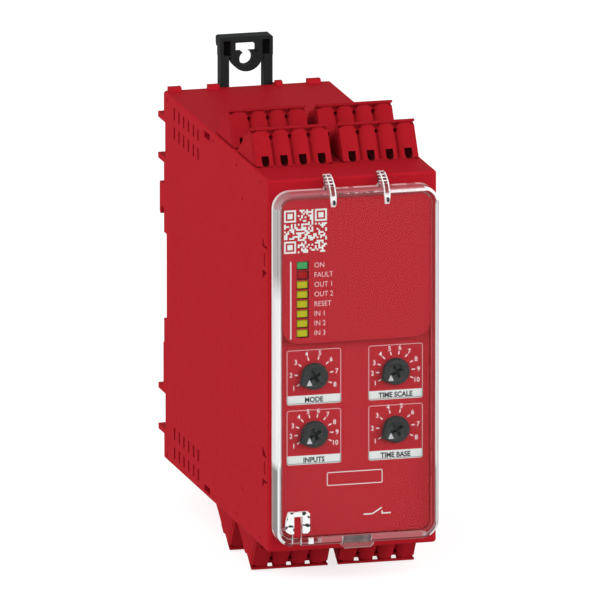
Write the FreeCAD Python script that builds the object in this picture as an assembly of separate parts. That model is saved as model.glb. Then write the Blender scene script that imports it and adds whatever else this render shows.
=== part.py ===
import FreeCAD, Part
import os
import math

# Safety relay for a 35 mm DIN rail, 45 mm wide, with eight pluggable terminal
# blocks, a clear hinged front cover and four rotary selectors.
#
# Frame: X = 0 is the middle of the width, Z = 0 the middle of the rail and of
# the height, Y = 0 the rear plane that lies on the rail. The front faces -Y.
# Lengths in millimetres.

# ---------------------------------------------------------------- dimensions
W = 45.0            # module width
H = 98.4            # height of the housing box
D = 106.5           # rear plane to front plane
T_SIDE = 1.5        # side wall
T_TOP = 2.0         # top and bottom wall
T_FRONT = 1.9       # front frame and panel plate
REAR_IN = 5.0       # rear plane to the inner rear face
RAIL = 35.0         # rail over its brims
FIN_OUT = 5.8       # rear fins proud of the rear plane
REAR_SET = 0.2      # rear wall behind the rail pads
R_FRONT = 1.3       # rounding of the vertical front edges

PITCH = 5.0         # terminal pitch
POLES = 4
PLUG_X = 11.55      # plug centre from the middle
PLUG_W = 20.3
TIER_Y = {"rear": -64.0, "front": -86.0}   # ridge line of each tier
RIDGE_Z = 58.5
HEAD_Z = 49.5       # underside of the plug head
BODY_Z = 36.0       # lower end of the plug body
BODY_X0, BODY_X1 = 1.9, 20.7

COVER_X = 21.65     # clear cover, half width
COVER_Z0, COVER_Z1 = -46.7, 46.5
COVER_P0, COVER_P1 = 0.3, 5.4              # proud of the front plane
COVER_T = 1.5       # side wall of the cover
COVER_TF = 1.3      # window of the cover
COVER_R = 4.5
HINGE_P, HINGE_Z = -1.0, 48.15             # cover pivot, inside the top front corner
HINGE_R = 1.75
ARMS = (-6.68, 7.62)                        # hinge arm centres
ARM_W = 1.65

FIELD_P = 1.8       # dial field proud of the front plane
PLATE_P = 3.6       # raised upper plate proud of the front plane
KNOB_P0, KNOB_P = 2.1, 3.3                  # head of the selector knobs
KNOB_R = 3.5
KNOB_TIP = 4.45     # beak
KNOB_NECK = 2.6
KNOBS = {1: (-10.85, -2.45), 2: (10.85, -2.45), 3: (-10.85, -17.8), 4: (10.85, -17.8)}
KNOB_REST_DEG = 209.0                       # direction of position 1

LED_X0, LED_X1 = -15.72, -12.98
LED_Z = [27.2 - 2.557 * i for i in range(8)]
LED_H = 1.75
LED_GAP = 0.24       # dark joint around each light guide

LATCH_Y0, LATCH_Y1 = 0.5, 3.9
LATCH_TOP = 62.2
LATCH_TRAVEL = 4.0

V = FreeCAD.Vector
H2 = H / 2.0
W2 = W / 2.0
YF = -D             # front plane


# ---------------------------------------------------------------- helpers
def box(x0, x1, y0, y1, z0, z1):
    x0, x1 = min(x0, x1), max(x0, x1)
    y0, y1 = min(y0, y1), max(y0, y1)
    z0, z1 = min(z0, z1), max(z0, z1)
    return Part.makeBox(x1 - x0, y1 - y0, z1 - z0, V(x0, y0, z0))


def prism_x(pts, x0, x1):
    vs = [V(x0, y, z) for y, z in pts]
    w = Part.makePolygon(vs + [vs[0]])
    return Part.Face(w).extrude(V(x1 - x0, 0, 0))


def prism_y(pts, y0, y1):
    vs = [V(x, y0, z) for x, z in pts]
    w = Part.makePolygon(vs + [vs[0]])
    return Part.Face(w).extrude(V(0, y1 - y0, 0))


def prism_z(pts, z0, z1):
    vs = [V(x, y, z0) for x, y in pts]
    w = Part.makePolygon(vs + [vs[0]])
    return Part.Face(w).extrude(V(0, 0, z1 - z0))


def cyl_y(x, z, r, y0, y1):
    return Part.makeCylinder(r, abs(y1 - y0), V(x, min(y0, y1), z), V(0, 1, 0))


def cyl_x(y, z, r, x0, x1):
    return Part.makeCylinder(r, abs(x1 - x0), V(min(x0, x1), y, z), V(1, 0, 0))


def cyl_z(x, y, r, z0, z1):
    return Part.makeCylinder(r, abs(z1 - z0), V(x, y, min(z0, z1)), V(0, 0, 1))


def edges_along(shape, axis, test):
    out = []
    for e in shape.Edges:
        if len(e.Vertexes) != 2:
            continue
        a, b = e.Vertexes[0].Point, e.Vertexes[1].Point
        d = b.sub(a)
        if d.Length < 1e-6:
            continue
        d.normalize()
        if abs(abs(d.dot(axis)) - 1.0) > 1e-4:
            continue
        if test((a + b) * 0.5):
            out.append(e)
    return out


def rrect(x0, x1, z0, z1, r, y0, y1):
    b = box(x0, x1, y0, y1, z0, z1)
    return b.makeFillet(r, edges_along(b, V(0, 1, 0), lambda c: True))


def rrect4(x0, x1, z0, z1, r_low, r_high, y0, y1):
    b = box(x0, x1, y0, y1, z0, z1)
    zm = (z0 + z1) / 2.0
    b = b.makeFillet(r_low, edges_along(b, V(0, 1, 0), lambda c: c.z < zm))
    return b.makeFillet(r_high, edges_along(b, V(0, 1, 0), lambda c: c.z > zm))


def fuse(shapes):
    s = shapes[0]
    if len(shapes) > 1:
        s = s.fuse(shapes[1:])
    return s.removeSplitter()


def cut(s, tools):
    return s.cut(tools)


def py(p):
    """Y of a point p proud of the front plane."""
    return YF - p


def front_pts(pts):
    return [(py(p), z) for p, z in pts]


PARTS = {}


def keep(name, shape):
    """One node: one solid, or a group of separate solids."""
    solids = shape.Solids
    if len(solids) == 1:
        shape = solids[0]
    else:
        shape = Part.makeCompound(solids)
    PARTS[name] = shape


# ---------------------------------------------------------------- plug
def make_plug():
    """One 4-pole plug about its own middle: x = 0, ridge at y = 0, upright."""
    hw = PLUG_W / 2.0
    # front line of the barrels, seen from the side
    top, foot = (-0.45, 57.95), (-5.7, HEAD_Z)
    dy, dz = foot[0] - top[0], foot[1] - top[1]
    length = math.hypot(dy, dz)
    dy, dz = dy / length, dz / length
    ny, nz = dz, -dy                 # outward normal of the slope (-y, +z)
    depth = 1.25                     # valley floor behind the barrel line

    def front_y(z, back=0.0):
        return top[0] + (top[1] - z) * dy / -dz - back / ny

    slope = [(4.2, 55.4), (6.1, 55.5), (8.0, 54.1), (8.4, 53.2), (12.4, 50.3), (13.2, 49.9), (13.2, HEAD_Z)]
    head = prism_x([(0.92, 57.79)] + slope + [(front_y(HEAD_Z, depth), HEAD_Z)], -hw, hw)
    ridge = prism_x([(-0.85, RIDGE_Z), (-0.05, RIDGE_Z), (0.95, 57.77), (0.9, 57.4), (-0.45, 57.95), (-0.85, 57.95)],
                    -hw, hw)
    side = prism_x([(front_y(58.2), 58.2), (0.36, 58.2)] + slope + [(foot[0], HEAD_Z)], -hw + 0.12, hw - 0.12)
    r = 3.3
    barrels = []
    for i in range(POLES):
        x = (i - 1.5) * PITCH
        cy, cz = top[0] - ny * r, top[1] - nz * r
        c = Part.makeCylinder(r, length + 8.0, V(x, cy - dy * 4.0, cz - dz * 4.0), V(0, dy, dz))
        barrels.append(c.common(box(x - 2.2, x + 2.2, -8, 6, HEAD_Z, 58.15)).common(side))
    # the end barrels run out flat into the end walls
    for s in (-1, 1):
        barrels.append(side.common(box(s * 1.5 * PITCH, s * 20, -8, 4, HEAD_Z, 58.15)))
    body = box(BODY_X0 - PLUG_X, BODY_X1 - PLUG_X, -5.7 + 0.2, 12.9, BODY_Z, HEAD_Z + 0.01)
    body = body.makeChamfer(0.8, [e for e in body.Edges if abs(e.CenterOfMass.z - BODY_Z) < 1e-3])
    shape = fuse([head, ridge, body] + barrels)
    tools = []
    for i in range(POLES - 1):
        x = (i - 1) * PITCH
        # pocket under the ridge with its inspection window, and the small pocket below
        tools.append(prism_y([(x - 1.1, 57.94), (x + 1.1, 57.94), (x + 0.72, 56.9), (x - 0.72, 56.9)], -4.0, 0.15))
        tools.append(prism_x([(-4.0, 56.16), (4.0, 58.07), (4.0, 58.92), (-4.0, 57.01)], x - 0.7, x + 0.7))
        tools.append(prism_y([(x - 0.65, 56.2), (x + 0.65, 56.2), (x + 0.2, 55.2), (x - 0.2, 55.2)], -6.0, 1.2))
    for s in (-1, 1):
        x = s * 2 * PITCH
        tools.append(prism_y([(x - s * 1.4, 57.94), (x + s * 0.3, 57.94), (x + s * 0.3, 57.2), (x - s * 0.6, 57.2)],
                             -4.0, 0.6))
    for i in range(POLES):
        x = (i - 1.5) * PITCH
        # test opening at the foot of the barrel, closed at its back
        tools.append(box(x - 0.98, x + 0.98, -8.0, -2.6, 50.24, 51.8))
        tools.append(cyl_y(x, 50.24, 0.98, -8.0, -2.6))
        # clamp chamber, open at the bottom
        tools.append(box(x - 1.95, x + 1.95, -1.8, 8.3, BODY_Z - 1, 51.0))
        # wire funnel and release slot on the rear slope
        tools.append(box(x - 1.6, x + 1.6, 4.3, 7.2, 50.5, 60.0))
        tools.append(prism_y([(x - 2.1, 56.2), (x + 2.1, 56.2), (x + 1.6, 54.3), (x - 1.6, 54.3)], 4.1, 7.6))
        tools.append(box(x - 1.2, x + 1.2, 9.6, 11.2, 50.4, 60.0))
    return cut(shape, tools)


def make_clamps():
    """Four cage clamps with their fork contacts, in the plug's own frame."""
    out = []
    for i in range(POLES):
        x = (i - 1.5) * PITCH
        a, b = x - 1.5, x + 1.5
        frame = cut(box(a, b, -1.6, 8.1, 41.0, 50.4), [box(a - 1, b + 1, -1.1, 7.6, 41.5, 49.9)])
        frame = cut(frame, [box(x - 1.1, x + 1.1, 4.3, 7.0, 49.0, 51.0)])
        bar = box(a, b, -1.3, 7.8, 45.2, 46.0)
        legs = [box(x - 1.0, x + 1.0, 1.9, 2.3, 37.2, 45.4), box(x - 1.0, x + 1.0, 3.7, 4.1, 37.2, 45.4)]
        frame = cut(frame, [box(x - 1.2, x + 1.2, 1.6, 4.4, 40.5, 41.9)])
        s = fuse([frame, bar] + legs)
        assert len(s.Solids) == 1, len(s.Solids)
        out.append(s)
    return Part.makeCompound(out)


def pin_boxes(x_c, y_r, z0, z1, half):
    return [box(x_c + (i - 1.5) * PITCH - half, x_c + (i - 1.5) * PITCH + half,
                y_r + 3.0 - half, y_r + 3.0 + half, z0, z1) for i in range(POLES)]


plug0 = make_plug()
assert len(plug0.Solids) == 1, len(plug0.Solids)
clamps0 = make_clamps()


def placed(shape, side, top, y):
    s = shape.copy()
    s.translate(V(PLUG_X, y, 0))
    if side == "left":
        s = s.mirror(V(0, 0, 0), V(1, 0, 0))
    if top == "bottom":
        s = s.mirror(V(0, 0, 0), V(0, 0, 1))
    return s


for level in ("top", "bottom"):
    sz = 1 if level == "top" else -1
    pins = []
    for side in ("left", "right"):
        sx = -1 if side == "left" else 1
        for tier, y in TIER_Y.items():
            keep("plug_%s_%s_%s" % (level, side, tier), placed(plug0, side, level, y))
            keep("clamps_%s_%s_%s" % (level, side, tier), placed(clamps0, side, level, y))
            base = box(sx * BODY_X0, sx * BODY_X1, y - 5.2, y + 12.7, sz * 31.0, sz * 34.5)
            base = cut(base, pin_boxes(sx * PLUG_X, y, -60, 60, 0.55))
            keep("header_%s_%s_%s" % (level, side, tier), base)
            pins += pin_boxes(sx * PLUG_X, y, min(sz * 28.6, sz * 44.3), max(sz * 28.6, sz * 44.3), 0.5)
    keep("header_pins_" + level, Part.makeCompound(pins))
    board = box(-20.4, 20.4, -93.0, -50.8, sz * 29.4, sz * 31.0)
    holes = []
    for sx in (-1, 1):
        for y in TIER_Y.values():
            holes += pin_boxes(sx * PLUG_X, y, -60, 60, 0.55)
    keep("terminal_board_" + level, cut(board, holes))

# ---------------------------------------------------------------- housing
outer = box(-W2, W2, -D, -REAR_SET, -H2, H2)
outer = outer.makeFillet(R_FRONT, edges_along(outer, V(0, 0, 1), lambda c: c.y < -D + 1))
outer = outer.makeFillet(0.7, [e for e in outer.Edges
                               if abs(abs(e.CenterOfMass.z) - H2) < 1e-3 and e.CenterOfMass.y < -D + 2.0])
adds = []
# rear fins, cut away where the latch slides
for z0, z1 in ((41.05, 42.55), (30.1, 31.6)):
    for s in (-1, 1):
        adds.append(box(s * 9.0, s * W2, -2.0, FIN_OUT, z0, z1))
    adds.append(box(-W2, W2, -2.0, FIN_OUT, -z1, -z0))
# side blocks over the upper brim
for s in (-1, 1):
    blk = prism_x([(-1.0, 24.3), (4.0, 24.3), (4.2, 24.0), (4.2, 16.4), (3.9, 15.9), (3.3, 15.7), (2.7, 15.9),
                   (2.5, 16.4), (2.5, 17.9), (-1.0, 17.9)], s * W2, s * (W2 - 3.2))
    adds.append(blk)
    # fixed feet under the lower brim
    adds.append(prism_x([(-1.0, -25.0), (2.2, -25.0), (4.4, -22.5), (4.4, -15.9), (1.5, -15.9), (1.5, -17.6),
                         (-1.0, -17.6)], s * 12.0, s * 18.0))
    # guide rails of the latch
    adds.append(box(s * 7.4, s * 9.4, -1.0, 5.4, 20.0, 48.5))
    adds.append(box(s * 5.9, s * 9.4, 4.2, 5.4, 26.5, 48.5))
adds.append(box(-W2, W2, -1.0, 0.6, -30.0, -18.1))
# pads that the rail's brims lie on
for s in (-1, 1):
    adds.append(box(s * 11.0, s * 18.0, -1.0, 0.0, 12.8, 17.2))
    adds.append(box(s * 2.0, s * 10.0, -1.0, 0.0, -17.2, -12.8))
# tabs on the top rear edge
for x0, x1 in ((-21.5, -18.1), (-10.9, -7.9), (7.3, 9.1), (15.8, 19.4)):
    adds.append(prism_x([(0.0, H2 - 1), (0.0, H2 + 1.1), (-1.5, H2 + 1.1), (-2.2, H2), (-2.2, H2 - 1)], x0, x1))
housing = fuse([outer] + adds)
tools = [
    box(-W2 + T_SIDE, W2 - T_SIDE, -D + T_FRONT, -REAR_IN, -H2 + T_TOP, H2 - T_TOP),
    rrect(-20.4, 20.4, -46.0, 46.0, 3.0, -D - 1, -D + T_FRONT + 0.5),
    # rear recesses
    box(-30, 30, -2.9, 3.0, -11.5, 11.5),
    box(-30, 30, -1.5, 3.0, -41.05, -31.6),
]
for s in (-1, 1):
    tools.append(box(s * 9.4, s * 30, -1.5, 3.0, 31.6, 41.05))
    # thinned rear wall behind the brims
    tools.append(box(-W2 + T_SIDE, W2 - T_SIDE, -REAR_IN - 1, -2.2, s * 14.0, s * 28.6))
    # side vents: two rows of six slots at the top and at the bottom
    for y in (-11.0, -15.8, -20.6, -25.5, -30.6, -35.3):
        for z0, z1 in ((43.8, 46.9), (38.6, 41.8)):
            for sz in (-1, 1):
                tools.append(box(s * (W2 + 1), s * (W2 - T_SIDE - 0.5), y - 0.7, y + 0.7, sz * z0, sz * z1))
    for sz in (-1, 1):
        tools.append(box(s * (W2 + 1), s * (W2 - 4.0), -47.4, -41.6, sz * 46.3, sz * 48.0))
        # moulding marks
        for y, z in ((-3.5, 47.4), (-51.2, 47.3), (-74.8, 46.3), (-80.4, 38.4), (-98.2, 47.0)):
            tools.append(cyl_x(y, sz * z, 0.42, s * (W2 + 1), s * (W2 - 0.35)))
        # spring tongue that holds the front panel: two slits, corner notches and a scribed line
        tools.append(box(s * (W2 + 1), s * (W2 - T_SIDE - 0.1), -105.2, -100.7, sz * 30.75, sz * 31.4))
        tools.append(prism_x([(-100.7, sz * 32.9), (-101.3, sz * 32.9), (-102.6, sz * 31.3), (-100.7, sz * 31.3)],
                             s * (W2 + 1), s * (W2 - T_SIDE - 0.1)))
        tools.append(box(s * (W2 + 1), s * (W2 - T_SIDE - 0.1), -104.8, -100.7, sz * 24.0, sz * 24.6))
        tools.append(prism_x([(-100.7, sz * 22.4), (-101.6, sz * 22.4), (-103.8, sz * 24.1), (-100.7, sz * 24.1)],
                             s * (W2 + 1), s * (W2 - T_SIDE - 0.1)))
        tools.append(box(s * (W2 + 1), s * (W2 - 0.7), -103.2, -102.3, sz * 25.8, sz * 29.4))
# openings for the plugs
for sz in (-1, 1):
    for s in (-1, 1):
        for y in TIER_Y.values():
            tools.append(box(s * 1.5, s * (W2 - T_SIDE), y - 6.0, y + 13.3, sz * (H2 - T_TOP - 1), sz * (H2 + 3)))
# notches for the cover's hinge arms
for xc in ARMS:
    x0, x1 = xc - ARM_W / 2 - 0.3, xc + ARM_W / 2 + 0.3
    tools.append(cyl_x(py(HINGE_P), HINGE_Z, HINGE_R + 0.75, x0, x1))
    tools.append(box(x0, x1, py(HINGE_P), YF - 1, HINGE_Z - 2.15, H2 + 3))
for s, xa in ((-1, ARMS[0] - ARM_W / 2 - 0.3), (1, ARMS[1] + ARM_W / 2 + 0.3)):
    tools.append(cyl_x(py(HINGE_P), HINGE_Z, 0.68, xa - s * 0.5, xa + s * 1.15))
housing = cut(housing, tools)
keep("housing_base", housing)

# ---------------------------------------------------------------- front panel
panel = [
    rrect(-20.3, 20.3, -45.9, 45.9, 2.9, YF, YF + T_FRONT),
    rrect(-19.8, 19.8, -44.8, 44.6, 2.6, py(FIELD_P), YF + 0.5),
    rrect4(-19.8, 19.8, 6.6, 44.5, 4.5, 2.6, py(PLATE_P), YF + 0.5),
    # seal post
    prism_x(front_pts([(0.5, -44.4), (4.9, -44.4), (5.2, -44.0), (5.2, -41.4), (4.4, -39.8), (0.5, -39.2)]), -16.9, -15.4),
]
# catches behind the side tongues
for s in (-1, 1):
    for sz in (-1, 1):
        panel.append(box(s * 19.0, s * 20.2, YF + 1.0, -100.0, sz * 25.0, sz * 30.4))
        panel.append(prism_x([(-100.0, sz * 25.6), (-102.4, sz * 25.6), (-102.4, sz * 29.8), (-100.0, sz * 29.8)],
                             s * 19.6, s * 20.8))
panel = fuse(panel)
tools = []
for x, z in KNOBS.values():
    tools.append(cyl_y(x, z, KNOB_NECK + 0.3, py(6), YF + 3))
for z in LED_Z:
    tools.append(box(LED_X0 - LED_GAP, LED_X1 + LED_GAP, py(6), YF + 3, z - LED_H / 2 - LED_GAP, z + LED_H / 2 + LED_GAP))
tools.append(cyl_x(py(4.2), -42.4, 0.55, -18, -14))
panel = cut(panel, tools)
keep("front_panel", panel)

# ---------------------------------------------------------------- clear cover
cover = rrect(-COVER_X, COVER_X, COVER_Z0, COVER_Z1, COVER_R, py(COVER_P1), py(COVER_P0))
loop = [e for e in cover.Edges if abs(e.CenterOfMass.y - py(COVER_P1)) < 1e-3]
cover = cover.makeChamfer(0.75, loop)
inner = rrect(-COVER_X + COVER_T, COVER_X - COVER_T, COVER_Z0 + COVER_T, COVER_Z1 - COVER_T, COVER_R - COVER_T,
              py(COVER_P1 - COVER_TF), py(COVER_P0) + 1)
ledge = [e for e in inner.Edges if abs(e.CenterOfMass.y - py(COVER_P1 - COVER_TF)) < 1e-3]
inner = inner.makeFillet(0.5, ledge)
cover = cut(cover, [inner])
parts = [cover]
# seal eyelet
eye = prism_y([(-18.7, -37.3), (-13.6, -37.3), (-13.1, -37.8), (-13.1, -42.4), (-13.7, -43.0), (-18.4, -43.0),
               (-19.3, -42.4), (-19.5, -41.4), (-19.3, -39.4)], py(6.5), py(4.5))
parts.append(eye)
# finger tab
tab = prism_y([(-4.7, -45.6), (4.5, -45.6), (4.5, -47.2), (3.7, -48.1), (-3.3, -48.1), (-4.2, -47.3)], py(4.7), py(3.3))
parts.append(tab)
# stop bead next to the eyelet
parts.append(prism_x(front_pts([(4.6, -44.3), (6.1, -44.6), (6.1, -46.0), (4.6, -46.4)]), -13.3, -12.0))
for xc in ARMS:
    x0, x1 = xc - ARM_W / 2, xc + ARM_W / 2
    parts.append(cyl_x(py(HINGE_P), HINGE_Z, HINGE_R, x0, x1))
    parts.append(prism_x(front_pts([
        (-1.0, 49.9), (0.75, 49.87), (1.9, 49.5), (4.2, 48.1), (5.35, 46.6), (6.1, 44.6), (6.15, 43.5), (5.8, 42.7),
        (5.2, 42.5), (4.8, 42.6), (4.6, 45.3), (3.0, 45.6), (1.9, 46.0), (1.0, 46.8), (0.6, 47.2), (-1.0, 46.5)]), x0, x1))
    # nub beside each arm, on the top edge of the cover
    parts.append(prism_x(front_pts([(0.9, 46.0), (2.6, 46.0), (2.6, 46.9), (1.9, 47.2), (1.1, 47.1)]), x0 - 0.7, x0 + 0.2))
for s, xa in ((-1, ARMS[0] - ARM_W / 2), (1, ARMS[1] + ARM_W / 2)):
    parts.append(cyl_x(py(HINGE_P), HINGE_Z, 0.6, xa - s * 0.2, xa + s * 1.3))
cover = fuse(parts)
tools = [
    box(-17.3, -15.0, py(7.5), py(3.0), -48.0, -38.5),
    # finger recess above the tab
    prism_x(front_pts([(5.6, -44.2), (5.6, -47.0), (4.75, -47.0), (4.75, -45.9)]), -4.2, 3.7),
    cyl_x(py(5.6), -41.6, 0.5, -20.5, -12.5),
]
for xc in ARMS:
    # channel with three rungs in each arm, and the small slot in its nose
    segs = [((0.3, 50.4), (1.2, 50.2), (1.0, 48.95), (0.3, 49.1)),
            ((1.6, 50.1), (2.45, 49.7), (2.1, 48.2), (1.45, 48.6)),
            ((2.95, 49.4), (3.75, 48.9), (3.2, 47.5), (2.5, 48.0)),
            ((4.2, 48.6), (5.75, 46.9), (4.55, 46.3), (3.55, 47.3))]
    for sg in segs:
        tools.append(prism_x(front_pts(sg), xc - 0.42, xc + 0.42))
    tools.append(prism_x(front_pts(((5.45, 44.5), (6.6, 44.5), (6.6, 43.1), (5.45, 43.1))), xc - 0.28, xc + 0.28))
    # the nose narrows towards its end
    for s in (-1, 1):
        tools.append(prism_y([(xc + s * 0.84, 45.2), (xc + s * 0.5, 42.2), (xc + s * 2.0, 42.2), (xc + s * 2.0, 45.2)],
                             py(7.0), py(5.41)))
cover = cut(cover, tools)
keep("clear_cover", cover)

# ---------------------------------------------------------------- rail latch
y0, y1 = LATCH_Y0, LATCH_Y1
latch = [
    box(-7.1, 7.1, y0, y1, 57.0, LATCH_TOP),
    cyl_y(0, 57.1, 4.2, y0, y1),
    prism_x([(y1 - 0.1, LATCH_TOP), (5.4, LATCH_TOP), (5.4, 60.1), (4.8, 59.4), (y1 - 0.1, 59.4)], -7.1, 7.1),
    box(-7.0, 7.0, y0, y1, 17.8, 26.0),
    prism_x([(1.4, 18.0), (1.4, 16.0), (2.0, 15.9), (5.2, 19.2), (5.2, 21.8), (y1, 22.6), (y1, 18.0)], -6.2, 6.2),
]
for s in (-1, 1):
    latch.append(box(s * 4.7, s * 7.0, y0, y1, 25.0, 57.2))
latch = fuse(latch)
tools = [
    box(-2.95, 2.95, y0 - 1, 6.5, 58.0, 60.65),
    cyl_y(0, 56.35, 1.95, y0 - 1, 6.5),
]
for s in (-1, 1):
    tools.append(box(s * 4.25, s * 6.2, y0 - 1, y0 + 2.2, 57.3, 61.2))
latch = cut(latch, tools)
latch = latch.makeChamfer(0.35, [e for e in latch.Edges if abs(e.CenterOfMass.z - LATCH_TOP) < 1e-3])
keep("rail_latch", latch)

# ---------------------------------------------------------------- selectors
for i, (x, z) in KNOBS.items():
    body = box(x - 4.9, x + 4.9, YF + 2.2, YF + 6.7, z - 4.9, z + 4.9)
    body = body.makeChamfer(0.5, edges_along(body, V(0, 1, 0), lambda c: True))
    body = cut(body, [cyl_y(x, z, 1.55, YF + 1, YF + 5.0)])
    keep("rotary_switch_%d" % i, body)
    a = math.radians(KNOB_REST_DEG)
    ux, uz = math.cos(a), math.sin(a)
    vx, vz = -uz, ux
    y_face = py(KNOB_P)

    def loc(pts):
        return [(x + ux * p + vx * q, z + uz * p + vz * q) for p, q in pts]
    # round head with a pointed beak, on a neck that passes through the panel
    t = math.acos(KNOB_R / KNOB_TIP)
    tx, tq = KNOB_R * math.cos(t), KNOB_R * math.sin(t)
    head = fuse([cyl_y(x, z, KNOB_R, y_face, py(KNOB_P0)),
                 prism_y(loc([(0.0, 0.0), (tx, tq), (KNOB_TIP, 0.0), (tx, -tq)]), y_face, py(KNOB_P0))])
    head = head.makeChamfer(0.28, [e for e in head.Edges if abs(e.CenterOfMass.y - y_face) < 1e-3])
    neck = cyl_y(x, z, KNOB_NECK, py(KNOB_P0) - 0.1, YF + 1.2)
    shaft = cyl_y(x, z, 1.5, YF + 1.0, YF + 4.8)
    knob = fuse([head, neck, shaft])
    tools = [
        # dished centre with the screwdriver cross
        Part.makeCone(2.35, 1.75, 0.32, V(x, y_face - 0.02, z), V(0, 1, 0)),
        prism_y(loc([(-1.75, 0.42), (1.75, 0.42), (1.75, -0.42), (-1.75, -0.42)]), y_face - 0.2, y_face + 2.2),
        prism_y(loc([(0.42, -1.75), (0.42, 1.75), (-0.42, 1.75), (-0.42, -1.75)]), y_face - 0.2, y_face + 2.2),
    ]
    knob = cut(knob, tools)
    keep("selector_knob_%d" % i, knob)

# ---------------------------------------------------------------- light guides and LEDs
guides = [box(LED_X0, LED_X1, py(PLATE_P - 0.35), YF + 6.0, z - LED_H / 2, z + LED_H / 2) for z in LED_Z]
keep("led_window_power", guides[0])
keep("led_window_fault", guides[1])
keep("led_windows_status", Part.makeCompound(guides[2:]))
xm = (LED_X0 + LED_X1) / 2
keep("led_chips", Part.makeCompound([box(xm - 0.8, xm + 0.8, YF + 6.1, YF + 6.7, z - 0.4, z + 0.4) for z in LED_Z]))

# ---------------------------------------------------------------- boards and what they carry
front_board = box(-19.6, 19.6, YF + 6.7, YF + 8.3, -44.0, 44.0)
keep("front_board", front_board)
YB0, YB1 = -96.5, -8.0
for side, s in (("left", -1), ("right", 1)):
    b = box(s * 13.2, s * 14.8, YB0, YB1, -28.4, 28.4)
    keep("main_board_" + side, b)
    con = box(s * 9.0, s * 13.2, YF + 8.3, -90.0, -14.0, 14.0)
    con = con.makeChamfer(0.4, edges_along(con, V(0, 1, 0), lambda c: True))
    keep("board_connector_" + side, con)


def relay(s, z0, z1):
    r = box(s * 0.5, s * 13.2, -40.0, -12.0, z0, z1)
    return r.makeFillet(0.8, [e for e in r.Edges if abs(e.CenterOfMass.x - s * 0.5) < 1e-3])


keep("relay_1", relay(-1, 2.0, 17.5))
keep("relay_2", relay(-1, -17.5, -2.0))
keep("relay_3", relay(1, 2.0, 17.5))
keep("relay_4", relay(1, -17.5, -2.0))
core = cut(box(1.4, 13.2, -64.0, -46.0, -9.0, 9.0), [box(0, 11.0, -61.0, -58.5, -10, 10), box(0, 11.0, -51.5, -49.0, -10, 10)])
coil = cut(box(2.6, 10.4, -62.5, -47.5, -11.5, 11.5), [box(1, 14, -61.0, -49.0, -9.3, 9.3)])
transformer = fuse([core, box(2.6, 10.4, -61.0, -58.5, -11.5, 11.5), box(2.6, 10.4, -51.5, -49.0, -11.5, 11.5),
                    box(2.6, 10.4, -61.0, -49.0, 9.0, 11.5), box(2.6, 10.4, -61.0, -49.0, -11.5, -9.0)])
keep("transformer", transformer)
caps = []
for y, z, x0 in ((-52.0, 8.5, 1.2), (-52.0, -8.5, 1.2), (-65.0, 0.0, 3.0)):
    c = cyl_x(y, z, 5.0, -13.2, -x0)
    c = c.makeFillet(0.5, [e for e in c.Edges if abs(e.CenterOfMass.x + x0) < 1e-3 and e.Length > 10])
    caps.append(c)
keep("capacitors", Part.makeCompound(caps))
fuse_part = cyl_z(10.6, -72.0, 2.6, -5.0, 5.0)
keep("fuse", fuse_part.makeChamfer(0.4, [e for e in fuse_part.Edges if e.Length > 10 and abs(abs(e.CenterOfMass.z) - 5) < 1e-3]))
keep("microcontrollers", Part.makeCompound([box(s * 14.8, s * 16.2, -72.0, -62.0, -5.0, 5.0) for s in (-1, 1)]))
strips = []
for s in (-1, 1):
    for sz in (-1, 1):
        strips.append(box(s * 10.7, s * 13.2, -88.0, -56.0, sz * 26.0, sz * 29.4))
keep("link_strips", Part.makeCompound(strips))

# ---------------------------------------------------------------- write
os.makedirs("parts", exist_ok=True)
for f in os.listdir("parts"):
    if f.endswith(".step"):
        os.remove(os.path.join("parts", f))
for name, shape in PARTS.items():
    assert shape.isValid(), name
    shape.exportStep(os.path.join("parts", name + ".step"))
print(len(PARTS), "nodes")
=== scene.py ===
import bpy
import bmesh
import math
from mathutils import Vector, Matrix, Quaternion


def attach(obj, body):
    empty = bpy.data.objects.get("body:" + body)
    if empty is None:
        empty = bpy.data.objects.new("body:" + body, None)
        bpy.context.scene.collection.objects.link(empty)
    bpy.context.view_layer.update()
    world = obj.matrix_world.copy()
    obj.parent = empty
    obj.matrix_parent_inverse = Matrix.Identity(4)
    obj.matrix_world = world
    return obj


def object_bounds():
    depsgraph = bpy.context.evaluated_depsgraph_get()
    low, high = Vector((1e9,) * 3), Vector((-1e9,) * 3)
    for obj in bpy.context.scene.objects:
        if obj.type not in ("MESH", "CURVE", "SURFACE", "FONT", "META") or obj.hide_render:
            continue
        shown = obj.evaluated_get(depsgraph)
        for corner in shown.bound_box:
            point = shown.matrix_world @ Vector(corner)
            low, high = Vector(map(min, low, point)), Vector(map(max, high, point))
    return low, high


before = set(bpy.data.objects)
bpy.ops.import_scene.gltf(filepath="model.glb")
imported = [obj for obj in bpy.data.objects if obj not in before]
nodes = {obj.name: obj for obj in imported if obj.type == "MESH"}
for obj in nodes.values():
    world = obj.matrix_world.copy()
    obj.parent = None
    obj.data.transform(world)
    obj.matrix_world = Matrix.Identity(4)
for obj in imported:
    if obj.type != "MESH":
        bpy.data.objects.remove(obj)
cad_lo, cad_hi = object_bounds()
scene = bpy.context.scene
MM = 0.001

# Sizes on the front, in millimetres. Y of a point p proud of the front plane is -(D + p).
D = 106.5
FIELD_P = 1.8
PLATE_P = 3.6
KNOB_P = 3.3
KNOBS = {1: (-10.85, -2.45), 2: (10.85, -2.45), 3: (-10.85, -17.8), 4: (10.85, -17.8)}
POSITIONS = {1: 8, 2: 10, 3: 10, 4: 8}
REST_DEG, SWEEP = 209.0, 234.0
ARMS, ARM_HALF = (-6.68, 7.62), 0.845
PITCH = 5.0
LED_Z = [27.2 - 2.557 * i for i in range(8)]


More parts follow.
